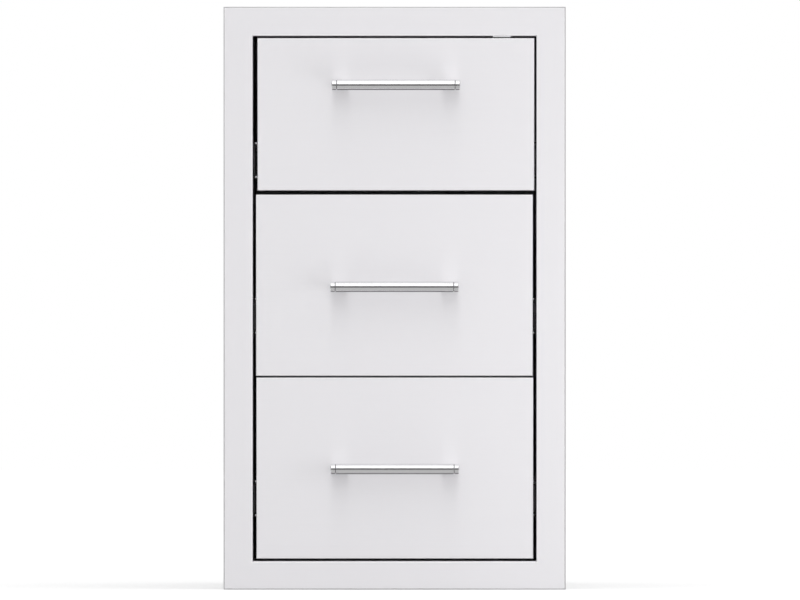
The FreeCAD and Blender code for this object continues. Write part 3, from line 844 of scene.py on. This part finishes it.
def addLamp(name, look):
    light = bpy.data.lights.new(name, "AREA")
    light.shape = "RECTANGLE"
    light.size, light.size_y = look["size"]
    light.energy = look["level"] * math.pi * look["size"][0] * look["size"][1]
    lamp = bpy.data.objects.new(name, light)
    lamp.matrix_world = studioPlace(look)
    lamp.visible_camera = False
    lamp.visible_glossy = look.get("shines", True)      # gloss mirrors it
    lamp.visible_diffuse = look.get("lights", True)     # matt surfaces are lit by it
    bpy.context.scene.collection.objects.link(lamp)


# What the bars and bends mirror: a dark band in front, greys below, beside and behind, and dark
# strips just outside the front that draw the bends' edges
cards = {
    "frontDark": {"azimuth": 0, "elevation": -3.7, "distance": 6.0, "size": (8.0, 4.0), "level": 0.18},
    "lowFront": {"azimuth": 0, "elevation": -55, "distance": 6.0, "size": (8.0, 8.4), "level": 0.56},
    "below": {"azimuth": 180, "elevation": -78, "distance": 5.4, "size": (8.0, 4.6), "level": 0.5},
    "rightEdge": {"azimuth": 66, "elevation": 5, "distance": 5.0, "size": (2.6, 6.0), "level": 0.12},
    "rightGrey": {"azimuth": 112, "elevation": 5, "distance": 5.1, "size": (6.5, 6.0), "level": 0.62},
    "leftEdge": {"azimuth": -66, "elevation": 5, "distance": 5.0, "size": (2.6, 6.0), "level": 0.12},
    "leftGrey": {"azimuth": -112, "elevation": 5, "distance": 5.1, "size": (6.5, 6.0), "level": 0.62},
    "aboveBehind": {"azimuth": 180, "elevation": 52, "distance": 5.0, "size": (8.0, 6.0), "level": 0.95},
}


# A plane of the studio, which isn't part of the object
def addPlane(bm, name, material):
    mesh = bpy.data.meshes.new(name)
    bm.to_mesh(mesh)
    bm.free()
    mesh.materials.append(material)
    plane = bpy.data.objects.new(name, mesh)
    bpy.context.scene.collection.objects.link(plane)
    return plane


# Only the metal sees a card: it is hidden from the camera, throws no light and no shadow
def addCard(name, look):
    level = look["level"]
    material, nodes = newMaterial(name)
    nodes.surface(nodes.add("ShaderNodeEmission", None, {"Color": (level, level, level, 1)}))
    bm = bmesh.new()
    bmesh.ops.create_grid(bm, x_segments=1, y_segments=1, size=0.5)
    bmesh.ops.scale(bm, vec=(*look["size"], 1), verts=bm.verts)
    card = addPlane(bm, name, material)
    card.matrix_world = studioPlace(look)
    card.visible_camera = card.visible_diffuse = card.visible_shadow = False


# 1 where the camera, gloss or glass sees a surface, and 0 where it only lights the object
def seenBy(nodes):
    camera, glossy, glass = (nodes.add("ShaderNodeLightPath", output=f"Is {name} Ray")
                             for name in ("Camera", "Glossy", "Transmission"))
    return camera + glossy + glass


def makeFloor():
    material, nodes = newMaterial("paleFloor")
    tone = studio["floorPaint"]
    paint = nodes.add("ShaderNodeBsdfDiffuse", None, {"Color": (tone, tone, tone, 1)})
    glowing = nodes.add("ShaderNodeEmission", None,
                        {"Color": (1, 1, 1, 1), "Strength": seenBy(nodes) * studio["floorGlow"]})
    nodes.surface(nodes.add("ShaderNodeAddShader", None, {0: paint, 1: glowing}))
    bm = bmesh.new()
    bmesh.ops.create_circle(bm, cap_ends=True, segments=64, radius=studio["floorRadius"])
    bmesh.ops.translate(bm, vec=(0, 0, frameLow.z), verts=bm.verts)
    floor = addPlane(bm, "floor", material)
    floor.visible_glossy = False      # the metal sees the white surround and the cards instead


def makeWorld():
    world = bpy.data.worlds.new("whiteSurround")
    bpy.context.scene.world = world
    nodes = Nodes(world)
    level = studio["surround"] + (1 - studio["surround"]) * seenBy(nodes)
    surround = nodes.add("ShaderNodeBackground", None, {"Color": (1, 1, 1, 1), "Strength": level})
    nodes.add("ShaderNodeOutputWorld", None, {"Surface": surround})


makeCamera()
for name, look in lamps.items():
    addLamp(name, look)
for name, look in cards.items():
    addCard(name, look)
makeFloor()
makeWorld()
bpy.context.scene.view_settings.view_transform = "Standard"
print("studio: camera, lamps, cards, floor and surround")
